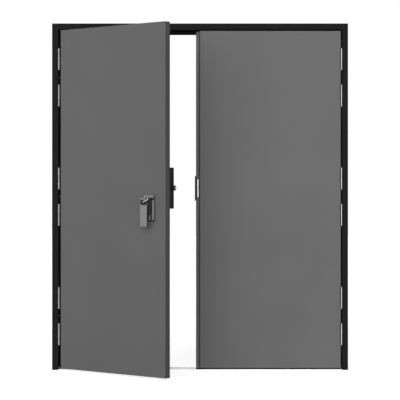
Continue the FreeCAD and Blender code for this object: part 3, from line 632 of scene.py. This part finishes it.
def shoot_bolt(level, limit, way):
    """Guides on a plate, and a rod with a knob, measured from the soffit or the sill's upstand."""
    def band(near, far):
        return sorted((limit + way * near, limit + way * far))

    middle, plate, rod, rod_size = 771, LEAF_INSIDE + 3, LEAF_INSIDE + 13, 12
    wide, narrow, bridge = 10.3, 6.3, LEAF_INSIDE + 29.3
    bm = bmesh.new()
    low, high = band(12, 232)
    slab(bm, (middle - 18, LEAF_INSIDE, low), (middle + 18, plate, high), Y, 5, [plate], 0.8)
    for near in (22, 198):
        low, high = band(near, near + 24)
        for wall in ((middle - wide, middle - narrow), (middle + narrow, middle + wide)):
            rounded_box(bm, (wall[0], plate, low), (wall[1], bridge, high), 0.8, 2)
        rounded_box(bm, (middle - wide, bridge - 4, low), (middle + wide, bridge, high), 0.8, 2)
        rounded_box(bm, (middle - wide, plate, low), (middle + wide, rod - 0.3, high), 0.8, 2)
    for near in (60, 184):
        for across in (middle - 12.5, middle + 12.5):
            screw(bm, (across, plate, limit + way * near), (0, 1, 0), 3.2, 1.0)
    piece(f"{level}_bolt_guides", bm, PASSIVE, "passive_leaf", bolt_steel,
          [f"passive_{level}_bolt_plate"])

    bm = bmesh.new()
    low, high = band(8, 258)
    rounded_box(bm, (middle - rod_size / 2, rod, low), (middle + rod_size / 2, rod + rod_size, high), 1.2)
    turned(bm, [(0, 22), (4.5, 22), (6.5, 20.5), (7, 17), (6, 13), (4, 10), (3.6, -0.5), (0, -0.5)],
           facing((middle, rod + rod_size, limit + way * 133), (0, 1, 0)), 28)
    piece(f"{level}_bolt_rod", bm, PASSIVE, "passive_leaf", bolt_steel,
          [f"passive_{level}_bolt"])


handle_plates()
lever_set()
latch_set()
meeting_edge()
hinge_details()
leaf_edge_shade()
frame_seals_and_shade()
shoot_bolt("top", SOFFIT, -1)
shoot_bolt("bottom", UPSTAND_TOP, 1)


# stage, in metres

FLOOR_SIZE, FLOOR_DROP, FLOOR_WHITE = 30, 0.0005, 0.71
CAMERA_PLACE, FOCAL_LENGTH, SENSOR_WIDTH = (0, -9.999, 1.075), 148.1, 36
SHIFT_ACROSS, SHIFT_UP = -0.000125, -0.0197


def light_path_white(tree):
    """1 for rays that should meet a white background: camera, glossy and transmission."""
    path = tree.nodes.new("ShaderNodeLightPath")
    seen = path.outputs["Is Camera Ray"]
    for name in ("Is Glossy Ray", "Is Transmission Ray"):
        either = tree.nodes.new("ShaderNodeMath")
        either.operation = "MAXIMUM"
        tree.links.new(seen, either.inputs[0])
        tree.links.new(path.outputs[name], either.inputs[1])
        seen = either.outputs[0]
    return seen


def studio_floor():
    """A pale floor, lifted just to white in the open where it is seen, so that the door's shadow stays."""
    bm = bmesh.new()
    bmesh.ops.create_grid(bm, x_segments=1, y_segments=1, size=FLOOR_SIZE,
                          matrix=Matrix.Translation((0, 0, -FLOOR_DROP)))
    mesh = bpy.data.meshes.new("studio_floor")
    bm.to_mesh(mesh)
    bm.free()
    floor = bpy.data.objects.new("studio_floor", mesh)
    bpy.context.scene.collection.objects.link(floor)
    pale = Finish("pale_floor", specular=0.0)
    pale.colour(pale.noise(3), [(0.3, grey(0.89)), (0.7, grey(0.91))])
    pale.shader.inputs["Roughness"].default_value = 0.9
    pale.shader.inputs["Emission Color"].default_value = (1, 1, 1, 1)
    lift = pale.node("ShaderNodeMath", operation="MULTIPLY")
    lift.inputs[1].default_value = FLOOR_WHITE
    pale.join(light_path_white(pale.tree), lift.inputs[0])
    pale.join(lift.outputs[0], pale.shader.inputs["Emission Strength"])
    mesh.materials.append(pale.material)


def studio_world(towards, sharpness, strength, behind, all_round):
    """White where it is seen. Its light is soft from one direction, less from behind, a little all round."""
    world = bpy.data.worlds.new("studio_world")
    bpy.context.scene.world = world
    world.use_nodes = True
    tree = world.node_tree
    tree.nodes.clear()

    def math_node(operation, *settings):
        made = tree.nodes.new("ShaderNodeMath")
        made.operation = operation
        for socket, setting in zip(made.inputs, settings):
            if isinstance(setting, bpy.types.NodeSocket):
                tree.links.new(setting, socket)
            else:
                socket.default_value = setting
        return made.outputs[0]

    place = tree.nodes.new("ShaderNodeTexCoord")
    along = tree.nodes.new("ShaderNodeVectorMath")
    along.operation = "DOT_PRODUCT"
    along.inputs[1].default_value = Vector(towards).normalized()
    tree.links.new(place.outputs["Generated"], along.inputs[0])
    side = along.outputs["Value"]
    front = math_node("POWER", math_node("MAXIMUM", side, 0.0), sharpness)
    back = math_node("POWER", math_node("MAXIMUM", math_node("MULTIPLY", side, -1.0), 0.0), 2.0)
    light = math_node("MULTIPLY_ADD", back, behind, math_node("MULTIPLY_ADD", front, strength, all_round))

    skies = [tree.nodes.new("ShaderNodeBackground") for _ in range(2)]
    mix = tree.nodes.new("ShaderNodeMixShader")
    for index, sky in enumerate(skies, start=1):
        sky.inputs["Color"].default_value = (1, 1, 1, 1)
        tree.links.new(sky.outputs[0], mix.inputs[index])
    tree.links.new(light, skies[0].inputs["Strength"])
    tree.links.new(light_path_white(tree), mix.inputs[0])
    out = tree.nodes.new("ShaderNodeOutputWorld")
    tree.links.new(mix.outputs[0], out.inputs[0])


def camera():
    """Level, in front of the middle of the doorway."""
    lens = bpy.data.cameras.new("photo_camera")
    lens.lens = FOCAL_LENGTH
    lens.sensor_width = SENSOR_WIDTH
    lens.shift_x = SHIFT_ACROSS
    lens.shift_y = SHIFT_UP
    made = bpy.data.objects.new("photo_camera", lens)
    made.location = CAMERA_PLACE
    made.rotation_euler = (math.pi / 2, 0, 0)
    bpy.context.scene.collection.objects.link(made)
    bpy.context.scene.camera = made


studio_floor()
studio_world(towards=(-0.26, -1, 0.05), sharpness=5, strength=5.08, behind=1.5, all_round=0.02)
camera()
bpy.context.scene.view_settings.view_transform = "Standard"
